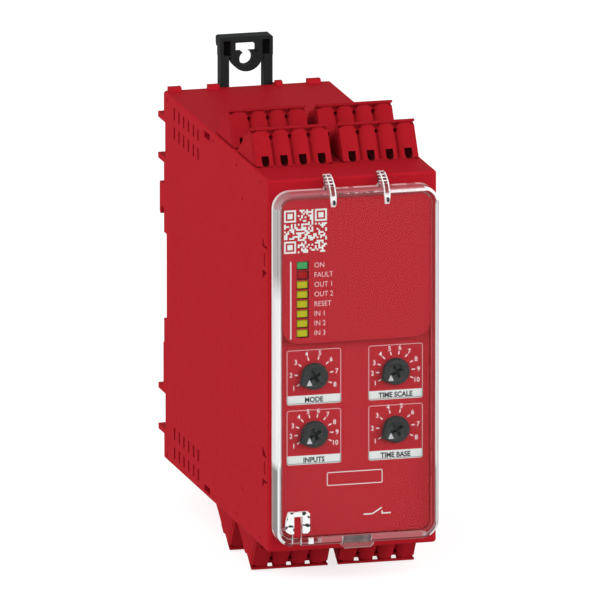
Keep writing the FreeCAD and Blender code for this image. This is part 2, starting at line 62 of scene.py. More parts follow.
# ------------------------------------------------------------------ camera
def make_camera():
    a, e, s = math.radians(14.8617), math.radians(13.4410), 3.86005
    right = Vector((math.cos(a), -math.sin(a), 0))
    up = Vector((math.sin(a) * math.sin(e), math.cos(a) * math.sin(e), math.cos(e)))
    back = right.cross(up)
    data = bpy.data.cameras.new("camera")
    data.type = "PERSP"
    data.lens = 1700.0
    data.sensor_width = 36.0
    width = 600.0 / s * MM
    dist = width * data.lens / data.sensor_width
    aim = right * ((300 - 246.924) / s * MM) + up * ((269.241 - 300) / s * MM) + back * 0.0515
    cam = bpy.data.objects.new("camera", data)
    cam.rotation_mode = "QUATERNION"
    cam.location = aim + back * dist
    rot = Matrix((right, up, back)).transposed()
    cam.rotation_quaternion = rot.to_quaternion()
    data.clip_start, data.clip_end = 0.5, 60.0
    scene.collection.objects.link(cam)
    scene.camera = cam
    return back


back = make_camera()
scene.view_settings.view_transform = "Standard"
scene.view_settings.look = "None"


# ------------------------------------------------------------------ node helpers
class Mat:
    """A material with its Principled shader and short calls for the nodes it uses."""

    def __init__(self, name):
        self.m = bpy.data.materials.new(name)
        self.m.use_nodes = True
        self.t = self.m.node_tree
        self.b = self.t.nodes["Principled BSDF"]
        self.out = self.t.nodes["Material Output"]
        self.tc = self.t.nodes.new("ShaderNodeTexCoord")

    def node(self, kind, **kw):
        n = self.t.nodes.new(kind)
        for k, v in kw.items():
            setattr(n, k, v)
        return n

    def link(self, a, b):
        self.t.links.new(a, b)

    def coord(self, scale):
        mp = self.node("ShaderNodeMapping")
        mp.inputs["Scale"].default_value = scale
        self.link(self.tc.outputs["Object"], mp.inputs["Vector"])
        return mp.outputs["Vector"]

    def noise(self, size_mm, detail=2.0, rough=0.5, stretch=(1, 1, 1)):
        k = 1.0 / (size_mm * MM)
        n = self.node("ShaderNodeTexNoise")
        n.inputs["Scale"].default_value = 1.0
        n.inputs["Detail"].default_value = detail
        n.inputs["Roughness"].default_value = rough
        self.link(self.coord((k * stretch[0], k * stretch[1], k * stretch[2])), n.inputs["Vector"])
        return n.outputs["Fac"]

    def voronoi(self, size_mm, feature="F1"):
        k = 1.0 / (size_mm * MM)
        n = self.node("ShaderNodeTexVoronoi")
        n.feature = feature
        n.inputs["Scale"].default_value = 1.0
        self.link(self.coord((k, k, k)), n.inputs["Vector"])
        return n.outputs["Distance"]

    def ramp(self, fac, stops, interp="LINEAR"):
        n = self.node("ShaderNodeValToRGB")
        n.color_ramp.interpolation = interp
        els = n.color_ramp.elements
        while len(els) < len(stops):
            els.new(0.5)
        for el, (p, c) in zip(els, stops):
            el.position = p
            el.color = (c[0], c[1], c[2], 1.0)
        self.link(fac, n.inputs["Fac"])
        return n.outputs["Color"]

    def range(self, fac, lo, hi, flo=0.3, fhi=0.7):
        n = self.node("ShaderNodeMapRange")
        n.inputs["From Min"].default_value = flo
        n.inputs["From Max"].default_value = fhi
        n.inputs["To Min"].default_value = lo
        n.inputs["To Max"].default_value = hi
        self.link(fac, n.inputs["Value"])
        return n.outputs["Result"]

    def mix(self, fac, a, b, blend="MIX"):
        n = self.node("ShaderNodeMix", data_type="RGBA")
        n.blend_type = blend
        for key, val in (("Factor", fac), ("A", a), ("B", b)):
            socks = [s for s in n.inputs if s.name == key and s.enabled]
            s = socks[0]
            if isinstance(val, (int, float)):
                s.default_value = val
            elif isinstance(val, tuple):
                s.default_value = (*val, 1.0)
            else:
                self.link(val, s)
        return [o for o in n.outputs if o.enabled][0]

    def math(self, op, a, b=0.0, c=None):
        n = self.node("ShaderNodeMath", operation=op)
        for i, v in enumerate((a, b, c)):
            if v is None:
                continue
            if isinstance(v, (int, float)):
                n.inputs[i].default_value = v
            else:
                self.link(v, n.inputs[i])
        return n.outputs[0]

    def bump(self, height, dist_mm, strength=1.0, normal=None):
        n = self.node("ShaderNodeBump")
        n.inputs["Strength"].default_value = strength
        n.inputs["Distance"].default_value = dist_mm * MM
        self.link(height, n.inputs["Height"])
        if normal is not None:
            self.link(normal, n.inputs["Normal"])
        return n.outputs["Normal"]

    def bevel(self, r_mm, samples=4):
        n = self.node("ShaderNodeBevel", samples=samples)
        n.inputs["Radius"].default_value = r_mm * MM
        return n.outputs["Normal"]

    def set(self, **kw):
        for k, v in kw.items():
            s = self.b.inputs[k.replace("_", " ")]
            if isinstance(v, bpy.types.NodeSocket):
                self.link(v, s)
            elif isinstance(v, tuple):
                s.default_value = (*v, 1.0) if len(v) == 3 else v
            else:
                s.default_value = v
        return self


def plastic(name, base, dark, light, rough=(0.5, 0.62), grain=0.22, depth=0.006, edge=0.18, spec=0.2, cloud=9.0, fleck=0.02):
    """Satin moulded plastic: eroded-mould grain, faint cloudiness from moulding, gloss that varies a little."""
    m = Mat(name)
    fine = m.noise(grain, 2.0, 0.55)
    mid = m.noise(grain * 5.0, 3.0, 0.6)
    big = m.noise(cloud, 2.0, 0.5)
    col = m.ramp(big, [(0.30, dark), (0.5, base), (0.72, light)])
    speck = m.range(fine, 1.0 - fleck, 1.0 + fleck, 0.25, 0.75)
    hsv = m.node("ShaderNodeHueSaturation")
    m.link(col, hsv.inputs["Color"])
    m.link(speck, hsv.inputs["Value"])
    m.set(Base_Color=hsv.outputs["Color"], Specular_IOR_Level=spec)
    m.set(Roughness=m.range(mid, rough[0], rough[1]))
    n = m.bevel(edge) if edge else None
    n = m.bump(fine, depth, 0.25, n)
    n = m.bump(mid, depth * 1.6, 0.2, n)
    m.set(Normal=n)
    return m.m


def dress(name, mat):
    o = nodes[name]
    o.data.materials.clear()
    o.data.materials.append(mat)
    for p in o.data.polygons:
        p.material_index = 0
    return o


# ------------------------------------------------------------------ materials
RED = (0.415, 0.0098, 0.0180)
housing_red = plastic("housing_red_satin", RED, (0.408, 0.0094, 0.0174), (0.422, 0.0102, 0.0186), spec=0.02)
panel_red = plastic("panel_red_satin", (0.470, 0.0185, 0.0275), (0.463, 0.0180, 0.0270), (0.477, 0.0190, 0.0281),
                    rough=(0.5, 0.6), grain=1.3, depth=0.001, spec=0.02, fleck=0.006)
plug_red = plastic("plug_red_satin", (0.360, 0.0098, 0.0165), (0.350, 0.0094, 0.0159), (0.370, 0.0102, 0.0171),
                   rough=(0.55, 0.68), grain=0.2, depth=0.004, edge=0.2, spec=0.012, cloud=4.0)
black = plastic("latch_black_satin", (0.0125, 0.0152, 0.0150), (0.0112, 0.0138, 0.0136), (0.0140, 0.0168, 0.0166),
                rough=(0.55, 0.66), grain=0.2, depth=0.005, edge=0.25, spec=0.12)
knob_mat = plastic("knob_dark_satin", (0.0120, 0.0140, 0.0140), (0.0105, 0.0125, 0.0125), (0.0140, 0.0160, 0.0160),
                   rough=(0.4, 0.5), grain=0.12, depth=0.003, edge=0.12, spec=0.25, cloud=2.0)
switch_mat = plastic("switch_black", (0.03, 0.03, 0.032), (0.025, 0.025, 0.027), (0.036, 0.036, 0.038),
                     rough=(0.45, 0.6), edge=0.15, spec=0.3)
header_mat = plastic("header_black", (0.028, 0.028, 0.03), (0.022, 0.022, 0.024), (0.034, 0.034, 0.036),
                     rough=(0.5, 0.65), edge=0.15, spec=0.3)
relay_mat = plastic("relay_offwhite", (0.72, 0.71, 0.66), (0.66, 0.65, 0.60), (0.77, 0.76, 0.72),
                    rough=(0.35, 0.5), grain=0.2, depth=0.003, edge=0.3, spec=0.4)
chip_mat = plastic("chip_epoxy_black", (0.018, 0.018, 0.02), (0.014, 0.014, 0.016), (0.024, 0.024, 0.026),
                   rough=(0.55, 0.75), grain=0.15, depth=0.004, edge=0.1, spec=0.3)
fuse_mat = plastic("fuse_ceramic", (0.52, 0.44, 0.30), (0.45, 0.37, 0.25), (0.58, 0.50, 0.36),
                   rough=(0.3, 0.45), grain=0.25, depth=0.004, edge=0.2, spec=0.5)


def left_highlight_mask(m, sep):
    """How strongly the painted white highlight shows on the cover's left edge along its height: the white of the middle
    stretch, 0 to 1.
    """
    low = m.range(sep.outputs["Z"], 0.0, 1.0, -26.6 * MM, -24.6 * MM)
    high = m.range(sep.outputs["Z"], 1.0, 0.0, 18.5 * MM, 25.5 * MM)
    return m.math("MULTIPLY", low, high)


def clear_plastic():
    """Clear polycarbonate sheet: refracts and reflects, lets light through to what is behind it. Its edges carry
    painted light: white lines as highlights on the left and upper right, a grey reflection down the right edge that is
    darker towards the bottom, and the red of the housing painted along its foot.
    """
    m = Mat("clear_polycarbonate")
    wave = m.noise(6.0, 2.0, 0.5)
    sep = m.node("ShaderNodeSeparateXYZ")
    m.link(m.tc.outputs["Object"], sep.inputs[0])
    # painted highlights: white lines along the left edge's middle and along the upper right edge
    left = m.math("MULTIPLY", m.range(sep.outputs["X"], 1.0, 0.0, -20.72 * MM, -20.5 * MM), left_highlight_mask(m, sep))
    right = m.math("MULTIPLY", m.range(sep.outputs["Z"], 0.0, 1.0, 45.40 * MM, 45.52 * MM), m.range(sep.outputs["X"], 0.0, 1.0, 7.6 * MM, 8.6 * MM))
    pale = m.math("MAXIMUM", left, right)
    # painted reflection: grey down the right edge, darker towards the bottom; painted red along the foot for the
    # housing seen through it
    tall = m.math("MULTIPLY", m.range(sep.outputs["Z"], 0.0, 1.0, -42.5 * MM, -41.5 * MM), m.range(sep.outputs["Z"], 1.0, 0.0, 41.5 * MM, 42.5 * MM))
    far = m.math("MULTIPLY", m.range(sep.outputs["X"], 0.0, 1.0, 20.50 * MM, 20.62 * MM), tall)
    wide = m.math("MULTIPLY", m.range(sep.outputs["X"], 0.0, 1.0, -11.0 * MM, -9.5 * MM), m.range(sep.outputs["X"], 1.0, 0.0, 17.0 * MM, 18.5 * MM))
    foot = m.math("MULTIPLY", m.range(sep.outputs["Z"], 1.0, 0.0, -44.78 * MM, -44.62 * MM), wide)
    far_painted_grey = m.mix(m.range(sep.outputs["Z"], 0.0, 1.0, -28.5 * MM, -26.5 * MM), (0.30, 0.28, 0.28), (0.66, 0.64, 0.65))
    col = m.mix(pale, m.ramp(wave, [(0.3, (0.972, 0.985, 0.985)), (0.7, (0.99, 0.995, 0.995))]), (0.93, 0.90, 0.90))
    col = m.mix(foot, m.mix(far, col, far_painted_grey), (0.47, 0.135, 0.145))
    pale = m.math("MAXIMUM", pale, m.math("MAXIMUM", far, foot))
    m.set(Base_Color=col, Transmission_Weight=m.range(pale, 1.0, 0.12, 0.0, 1.0), IOR=1.2, Specular_IOR_Level=0.5)
    m.set(Roughness=m.range(m.noise(2.5, 3.0, 0.6), 0.0, 0.012))
    m.set(Normal=m.bump(wave, 0.01, 0.1))
    lit_through(m, (0.95, 0.95, 0.95, 1))
    return m.m


def lit_through(m, colour):
    """Let lamps shine through the plastic."""
    lp = m.node("ShaderNodeLightPath")
    tr = m.node("ShaderNodeBsdfTransparent")
    tr.inputs["Color"].default_value = colour
    mx = m.node("ShaderNodeMixShader")
    m.link(m.math("MAXIMUM", lp.outputs["Is Shadow Ray"], lp.outputs["Is Diffuse Ray"]), mx.inputs[0])
    m.link(m.b.outputs[0], mx.inputs[1])
    m.link(tr.outputs[0], mx.inputs[2])
    m.link(mx.outputs[0], m.out.inputs["Surface"])


def rim_plastic(name, axis, stops, streak, trans, rough=0.16, wobble=0.0, ior=1.45, fade=None):
    """An edge of the clear cover, its pale lines and tints painted in as highlights and reflections.

    stops run along one axis in mm: (position, grey). streak is the (x, y, z) length in mm of the
    unevenness along the edge, wobble how far that shifts the stops."""
    m = Mat(name)
    sep = m.node("ShaderNodeSeparateXYZ")
    m.link(m.tc.outputs["Object"], sep.inputs[0])
    lo, hi = stops[0][0], stops[-1][0]
    f = m.range(sep.outputs[axis], 0.0, 1.0, lo * MM, hi * MM)
    n = m.noise(1.0, 3.0, 0.6, tuple(1.0 / v for v in streak))
    if wobble:
        f = m.math("ADD", f, m.range(n, -wobble, wobble))
    col = m.ramp(f, [((q - lo) / (hi - lo), c) for q, c in stops])
    shade = m.node("ShaderNodeHueSaturation")
    m.link(col, shade.inputs["Color"])
    m.link(m.range(n, 0.82, 1.06), shade.inputs["Value"])
    m.set(Base_Color=shade.outputs["Color"], Transmission_Weight=trans, IOR=ior, Specular_IOR_Level=0.5)
    if fade:
        m.set(Transmission_Weight=m.range(f, fade[0], fade[1], fade[2], fade[3]))
    m.set(Roughness=m.range(n, rough * 0.8, rough * 1.2))
    m.set(Normal=m.bump(n, 0.02, 0.3, m.bevel(0.12, 3)))
    lit_through(m, (0.8, 0.8, 0.8, 1))
    return m.m


def window(name, base, deep, glow, strength):
    """A light guide's moulded end: frosted, its glow uneven where the LED shines through."""
    m = Mat(name)
    n = m.noise(0.7, 3.0, 0.6)
    m.set(Base_Color=m.ramp(n, [(0.3, deep), (0.7, base)]), Specular_IOR_Level=0.05)
    m.set(Roughness=m.range(m.noise(0.25, 2.0), 0.3, 0.45))
    m.set(Emission_Color=m.ramp(n, [(0.25, tuple(c * 0.72 for c in glow)), (0.75, glow)]), Emission_Strength=strength)
    m.set(Normal=m.bump(m.noise(0.3, 2.0), 0.01, 0.5, m.bevel(0.1, 3)))
    return m.m


def board(name):
    """Green solder mask over copper tracks, with tinned pads."""
    m = Mat(name)
    track = m.node("ShaderNodeTexBrick")
    track.inputs["Scale"].default_value = 1.0
    track.inputs["Mortar Size"].default_value = 0.13
    track.inputs["Color1"].default_value = (0.012, 0.105, 0.035, 1)
    track.inputs["Color2"].default_value = (0.015, 0.12, 0.04, 1)
    track.inputs["Mortar"].default_value = (0.03, 0.21, 0.075, 1)
    rot = m.node("ShaderNodeMapping")
    rot.inputs["Scale"].default_value = (420, 420, 420)
    rot.inputs["Rotation"].default_value = (math.radians(90), 0, 0)
    m.link(m.tc.outputs["Object"], rot.inputs["Vector"])
    m.link(rot.outputs["Vector"], track.inputs["Vector"])
    pads = m.ramp(m.voronoi(2.4), [(0.14, (0.55, 0.55, 0.52)), (0.17, (0.0, 0.0, 0.0))], "CONSTANT")
    sel = m.ramp(m.voronoi(2.4), [(0.14, (1, 1, 1)), (0.17, (0, 0, 0))])
    col = m.mix(sel, track.outputs["Color"], (0.55, 0.54, 0.5))
    m.set(Base_Color=col, Metallic=m.mix(sel, (0, 0, 0), (0.8, 0.8, 0.8)), Roughness=m.range(m.noise(1.5), 0.25, 0.4))
    m.set(Normal=m.bump(track.outputs["Fac"], 0.02, 0.4))
    return m.m


def metal(name, base, rough, stretch):
    m = Mat(name)
    n = m.noise(0.15, 3.0, 0.6, stretch)
    m.set(Base_Color=m.ramp(n, [(0.3, tuple(c * 0.82 for c in base)), (0.7, base)]), Metallic=1.0)
    m.set(Roughness=m.range(n, rough[0], rough[1]))
    m.set(Normal=m.bump(n, 0.004, 0.4, m.bevel(0.06, 3)))
    return m.m


def transformer_mat():
    m = Mat("ferrite_and_tape")
    z = m.node("ShaderNodeSeparateXYZ")
    m.link(m.tc.outputs["Object"], z.inputs[0])
    band = m.math("ABSOLUTE", z.outputs["Z"])
    tape = m.ramp(m.math("GREATER_THAN", band, 0.0089), [(0.0, (0.045, 0.045, 0.05)), (1.0, (0.45, 0.30, 0.06))])
    col = m.mix(m.range(m.noise(0.6, 3.0), 0.0, 0.25), tape, (0.02, 0.02, 0.02))
    m.set(Base_Color=col, Roughness=m.range(m.noise(0.5, 3.0), 0.45, 0.7), Normal=m.bump(m.noise(0.3, 3.0), 0.01, 0.5, m.bevel(0.15, 3)))
    return m.m


def capacitor_mat():
    """Dark sleeve with a pale stripe down its side and a bare aluminium end."""
    m = Mat("capacitor_sleeve")
    sep = m.node("ShaderNodeSeparateXYZ")
    m.link(m.tc.outputs["Object"], sep.inputs[0])
    geo = m.node("ShaderNodeNewGeometry")
    nrm = m.node("ShaderNodeSeparateXYZ")
    m.link(geo.outputs["Normal"], nrm.inputs[0])
    end = m.math("GREATER_THAN", nrm.outputs["X"], 0.9)
    stripe = m.math("GREATER_THAN", nrm.outputs["Z"], 0.86)
    col = m.mix(stripe, m.ramp(m.noise(2.0), [(0.3, (0.012, 0.018, 0.045)), (0.7, (0.018, 0.026, 0.06))]), (0.55, 0.56, 0.6))
    col = m.mix(end, col, (0.75, 0.75, 0.76))
    m.set(Base_Color=col, Metallic=end, Roughness=m.range(m.noise(0.4), 0.28, 0.42))
    return m.m


def ink(name, base, rough=0.55, fleck=0.05):
    """Screen-printed ink: slightly uneven cover."""
    m = Mat(name)
    n = m.noise(0.35, 3.0, 0.65)
    lo = tuple(c * (1 - fleck * 2) for c in base)
    m.set(Base_Color=m.ramp(n, [(0.3, lo), (0.65, base)]), Specular_IOR_Level=0.3)
    m.set(Roughness=m.range(n, rough - 0.08, rough + 0.08), Normal=m.bump(n, 0.004, 0.4))
    return m.m


clear = clear_plastic()
# W is the painted white of highlights on the cover's edges; PK a painted pink for the red of the housing seen through
# them.
W, G1, G2 = (0.95, 0.95, 0.95), (0.27, 0.28, 0.28), (0.20, 0.21, 0.21)
PK, RD = (0.86, 0.66, 0.66), (0.55, 0.24, 0.25)
YB = -D


def side_plastic(name, axis, upper, lower, wobble, streak):
    """The left edge of the cover: a painted white highlight along its middle, painted grey reflections in lines towards
    both ends.
    """
    m = Mat(name)
    sep = m.node("ShaderNodeSeparateXYZ")
    m.link(m.tc.outputs["Object"], sep.inputs[0])
    n = m.noise(1.0, 3.0, 0.6, tuple(1.0 / v for v in streak))
    lo, hi = upper[0][0], upper[-1][0]
    f = m.math("ADD", m.range(sep.outputs[axis], 0.0, 1.0, lo * MM, hi * MM), m.range(n, -wobble, wobble))
    up = m.ramp(f, [((q - lo) / (hi - lo), c) for q, c in upper])
    down = m.ramp(f, [((q - lo) / (hi - lo), c) for q, c in lower])
    ends = m.mix(m.range(sep.outputs["Z"], 0.0, 1.0, -6.0 * MM, 0.0), down, up)
    col = m.mix(left_highlight_mask(m, sep), ends, m.ramp(n, [(0.3, (0.86, 0.88, 0.88)), (0.7, (0.96, 0.96, 0.96))]))
    m.set(Base_Color=col, Transmission_Weight=0.06, IOR=1.4, Specular_IOR_Level=0.4, Roughness=m.range(n, 0.12, 0.2),
          Normal=m.bump(n, 0.02, 0.2, m.bevel(0.12, 3)))
    lit_through(m, (0.8, 0.8, 0.8, 1))
    return m.m


# painted greys of reflections on the cover's left edge, above and below its middle
UP, LOW = (0.47, 0.46, 0.46), (0.23, 0.235, 0.235)
side_wall = side_plastic("cover_side_wall", "Y", [(YB - 4.8, UP), (YB - 2.0, UP), (YB - 1.5, W), (YB - 0.2, W), (YB, UP)],
                         [(YB - 4.8, LOW), (YB - 2.2, LOW), (YB - 1.6, (0.34, 0.34, 0.34)), (YB, (0.40, 0.40, 0.40))], 0.03, (3.0, 3.0, 24.0))
side_chamfer = side_plastic("cover_side_chamfer", "X", [(-21.7, UP), (-21.42, UP), (-21.30, (0.30, 0.29, 0.29)), (-21.12, (0.36, 0.34, 0.34)),
                                                        (-21.02, (0.72, 0.70, 0.70)), (-20.86, (0.55, 0.42, 0.42)), (-20.7, (0.30, 0.16, 0.16))],
                            [(-21.7, LOW), (-21.45, LOW), (-21.30, (0.60, 0.60, 0.60)), (-21.18, W), (-20.7, W)], 0.02, (1.5, 1.5, 18.0))
# Painted light: a white highlight running into grey on the right chamfer, a white highlight line on the rear edge, a
# painted pink tint on the clear edges.
far_chamfer = rim_plastic("cover_far_chamfer", "X", [(17.0, W), (21.2, W), (21.35, (0.42, 0.41, 0.43)), (21.7, (0.5, 0.49, 0.5))],
                          (1.5, 1.5, 14.0), 0.2, wobble=0.02)
rear_edge = rim_plastic("cover_rear_edge", "Z", [(-50.0, W), (50.0, W)], (2.0, 2.0, 18.0), 0.1)
edge_clear = rim_plastic("cover_edge_clear", "Z", [(-50.0, PK), (50.0, PK)], (2.0, 2.0, 6.0), 0.95, rough=0.04, ior=1.28)


def top_plastic(name, part):
    """The cover's top edge, all painted light. The wall is painted pink for the housing seen through it, with a broken
    pale line at its back as a painted highlight; the front edge is mottled with painted shade on the left and runs into
    a painted white highlight on the right."""
    m = Mat(name)
    sep = m.node("ShaderNodeSeparateXYZ")
    m.link(m.tc.outputs["Object"], sep.inputs[0])
    x, y, z = sep.outputs["X"], sep.outputs["Y"], sep.outputs["Z"]
    n = m.noise(1.0, 2.0, 0.6, (1 / 1.1, 1.0, 1 / 0.8))
    pink = m.ramp(n, [(0.3, (0.45, 0.105, 0.120)), (0.7, (0.52, 0.150, 0.170))])
    if part == "wall":
        # painted highlight: a broken pale line at the back of the top wall
        line = m.range(y, 0.0, 1.0, (YB - 2.1) * MM, (YB - 1.7) * MM)
        dash = m.range(m.noise(1.0, 0.0, 0.5, (1 / 2.6, 0.01, 0.01)), 0.12, 1.0, 0.43, 0.50)
        solid = m.range(x, 1.0, 0.0, -9.0 * MM, -8.0 * MM)
        pale = m.math("MULTIPLY", line, m.math("MAXIMUM", dash, solid))
        col = m.mix(pale, pink, (0.98, 0.66, 0.68))
        trans = 0.12
    else:
        # painted shade mottled on the left of the front edge, a painted white highlight on its right
        low = m.range(z, 1.0, 0.0, 46.02 * MM, 46.22 * MM)
        dark = m.ramp(n, [(0.30, (0.10, 0.045, 0.045)), (0.48, (0.24, 0.13, 0.13)), (0.60, (0.36, 0.13, 0.145)), (0.72, (0.70, 0.50, 0.50))])
        left = m.mix(m.range(x, 0.0, 1.0, -12.0 * MM, -5.0 * MM), (0.33, 0.125, 0.145), dark)
        edge = m.mix(m.range(x, 0.0, 1.0, 6.8 * MM, 8.6 * MM), left, m.ramp(n, [(0.3, (0.80, 0.66, 0.66)), (0.6, (0.96, 0.93, 0.93))]))
        col = m.mix(low, pink, edge)
        trans = 0.15
    m.set(Base_Color=col, Transmission_Weight=trans, IOR=1.2, Specular_IOR_Level=0.3, Roughness=m.range(n, 0.12, 0.25))
    m.set(Normal=m.bump(n, 0.02, 0.2, m.bevel(0.1, 3)))
    lit_through(m, (0.85, 0.8, 0.8, 1))
    return m.m


top_wall = top_plastic("cover_top_wall", "wall")
top_chamfer = top_plastic("cover_top_chamfer", "edge")
# Painted light on the inner and lower parts of the cover: the red of the housing seen through them, lighter towards the
# right under the top; darker red shade low on the bottom chamfer; white highlights on the corner and the tab.
top_inner = rim_plastic("cover_top_inner", "X", [(-21.0, (0.47, 0.17, 0.19)), (6.0, (0.40, 0.14, 0.15)), (9.0, (0.60, 0.30, 0.31)), (21.0, (0.60, 0.30, 0.31))],
                        (4.0, 1.0, 1.0), 0.3, ior=1.2)
corner_chamfer = rim_plastic("cover_corner_chamfer", "X", [(-21.7, (0.46, 0.40, 0.40)), (-19.5, (0.45, 0.17, 0.185)), (-17.0, (0.40, 0.14, 0.155))],
                             (0.8, 0.8, 0.8), 0.15, wobble=0.1, ior=1.2)
low_chamfer = rim_plastic("cover_low_chamfer", "Z", [(-46.75, (0.52, 0.20, 0.21)), (-46.52, (0.48, 0.15, 0.16)), (-46.40, (0.32, 0.045, 0.055)),
                                                     (-45.8, (0.32, 0.045, 0.055))], (7.0, 1.0, 1.0), 0.2, wobble=0.08, ior=1.2)
inner_right = rim_plastic("cover_inner_right", "Z", [(-50.0, (0.62, 0.066, 0.078)), (50.0, (0.60, 0.062, 0.074))], (2.0, 2.0, 9.0), 0.35, rough=0.3, ior=1.1)
corner_wall = rim_plastic("cover_corner", "Y", [(YB - 4.8, (0.50, 0.28, 0.29)), (YB - 2.1, (0.50, 0.28, 0.29)), (YB - 1.6, W), (YB, W)],
                          (3.0, 3.0, 3.0), 0.3, wobble=0.05, ior=1.15)
tab_edge = rim_plastic("cover_tab_edge", "X", [(-5.0, W), (5.0, W)], (2.0, 1.0, 1.0), 0.25)
tab_face = rim_plastic("cover_tab_face", "X", [(-5.0, PK), (5.0, PK)], (2.0, 1.0, 1.0), 0.93, rough=0.05)
# the recess behind the tab: a painted white highlight at its left end, a paler one at its right, painted shade in dark
# greys between
recess = rim_plastic("cover_recess", "X", [(-4.4, W), (-4.0, (0.60, 0.54, 0.54)), (-3.75, (0.15, 0.11, 0.11)), (-2.2, (0.20, 0.15, 0.15)), (0.6, (0.14, 0.12, 0.12)),
                                           (2.2, (0.24, 0.19, 0.19)), (3.4, (0.13, 0.10, 0.10)), (3.8, (0.50, 0.42, 0.42))], (1.2, 1.0, 0.5), 0.12, wobble=0.05)


def eyelet_plastic():
    """The seal eyelet: thick clear plastic, painted white as a highlight, with a few painted dark flecks of shade."""
    m = Mat("cover_eyelet")
    n = m.noise(1.5, 1.0, 0.5)
    m.set(Base_Color=m.ramp(n, [(0.36, (0.03, 0.035, 0.035)), (0.40, (0.93, 0.93, 0.93)), (0.68, (0.95, 0.95, 0.95))]),
          Transmission_Weight=0.05, IOR=1.45, Specular_IOR_Level=0.5, Roughness=m.range(n, 0.1, 0.2))
    m.set(Normal=m.bevel(0.15, 3))
    lit_through(m, (0.8, 0.8, 0.8, 1))
    return m.m


def arm_plastic():
    """A hinge arm seen from above: painted highlights along both edges, on its nose and on rungs further back, the red
    of the housing painted between as seen through it, darker further back as painted shade.
    """
    m = Mat("cover_arm")
    sep = m.node("ShaderNodeSeparateXYZ")
    m.link(m.tc.outputs["Object"], sep.inputs[0])
    off = m.math("MINIMUM", m.math("ABSOLUTE", m.math("SUBTRACT", sep.outputs["X"], ARMS[0] * MM)),
                 m.math("ABSOLUTE", m.math("SUBTRACT", sep.outputs["X"], ARMS[1] * MM)))
    edge = m.math("SUBTRACT", m.range(off, 0.0, 1.0, 0.42 * MM, 0.52 * MM), m.range(off, 0.0, 0.75, 0.805 * MM, 0.815 * MM))
    nose = m.range(sep.outputs["Z"], 1.0, 0.0, 45.3 * MM, 45.8 * MM)
    along = m.math("ADD", sep.outputs["Z"], m.math("MULTIPLY", sep.outputs["Y"], 0.232))
    rung = m.math("GREATER_THAN", m.math("FRACT", m.math("DIVIDE", along, 0.82 * MM)), 0.62)
    behind = m.range(sep.outputs["Z"], 0.0, 1.0, 47.5 * MM, 47.7 * MM)
    pale = m.math("MAXIMUM", m.math("MAXIMUM", edge, nose), m.math("MULTIPLY", rung, behind))
    n = m.noise(0.9, 2.0, 0.6)
    col = m.mix(pale, m.mix(behind, (0.50, 0.14, 0.16), (0.36, 0.05, 0.06)), m.ramp(n, [(0.3, (0.70, 0.64, 0.64)), (0.6, (0.95, 0.93, 0.93))]))
    left = m.math("SUBTRACT", m.math("SUBTRACT", sep.outputs["X"], ARMS[0] * MM), 0.22 * MM)
    right = m.math("SUBTRACT", m.math("SUBTRACT", sep.outputs["X"], ARMS[1] * MM), 0.22 * MM)
    across = m.math("DIVIDE", m.math("MINIMUM", m.math("ABSOLUTE", left), m.math("ABSOLUTE", right)), 0.36 * MM)
    down = m.math("DIVIDE", m.math("SUBTRACT", sep.outputs["Z"], 43.75 * MM), 0.72 * MM)
    spot = m.math("ADD", m.math("MULTIPLY", across, across), m.math("MULTIPLY", down, down))
    # painted shade: a dark spot at the nose of each arm
    col = m.mix(m.range(spot, 1.0, 0.0, 0.7, 1.2), col, (0.07, 0.075, 0.075))
    m.set(Base_Color=col, Transmission_Weight=m.range(pale, 0.75, 0.08, 0.0, 1.0), IOR=1.45, Specular_IOR_Level=0.5)
    m.set(Roughness=m.range(n, 0.08, 0.2), Normal=m.bevel(0.1, 3))
    lit_through(m, (0.8, 0.8, 0.8, 1))
    return m.m


eyelet_painted_white = eyelet_plastic()
arm_edge = arm_plastic()
win_green = window("window_green_lit", (0.060, 0.335, 0.105), (0.050, 0.285, 0.088), (0.05, 0.30, 0.11), 0.14)
# the fault LED is off; its faint emission is a painted glow
win_red = window("window_red_off", (0.39, 0.005, 0.008), (0.34, 0.004, 0.007), (0.15, 0.003, 0.006), 0.04)
win_yellow = window("window_yellow_lit", (0.455, 0.425, 0.010), (0.41, 0.38, 0.008), (0.50, 0.47, 0.015), 0.13)
led_mat = plastic("led_chip_white", (0.8, 0.8, 0.74), (0.74, 0.74, 0.68), (0.84, 0.84, 0.8), rough=(0.3, 0.4),
                  grain=0.1, depth=0.002, edge=0.08, spec=0.5)
pcb = board("board_solder_mask")
tin = metal("tinned_pin", (0.78, 0.77, 0.74), (0.2, 0.35), (1, 1, 0.15))
steel = metal("spring_steel", (0.56, 0.56, 0.57), (0.25, 0.42), (1, 1, 0.1))
ferrite = transformer_mat()
cap_mat = capacitor_mat()
print_white = ink("print_white", (0.80, 0.82, 0.80))
print_pale = ink("print_pale", (0.86, 0.74, 0.74))
print_frame = ink("print_frame", (0.72, 0.44, 0.46))
print_label = ink("print_label", (0.80, 0.56, 0.57))
print_dark = ink("print_dark", (0.008, 0.014, 0.014))
pointer_grey = ink("pointer_light_grey", (0.58, 0.58, 0.60))

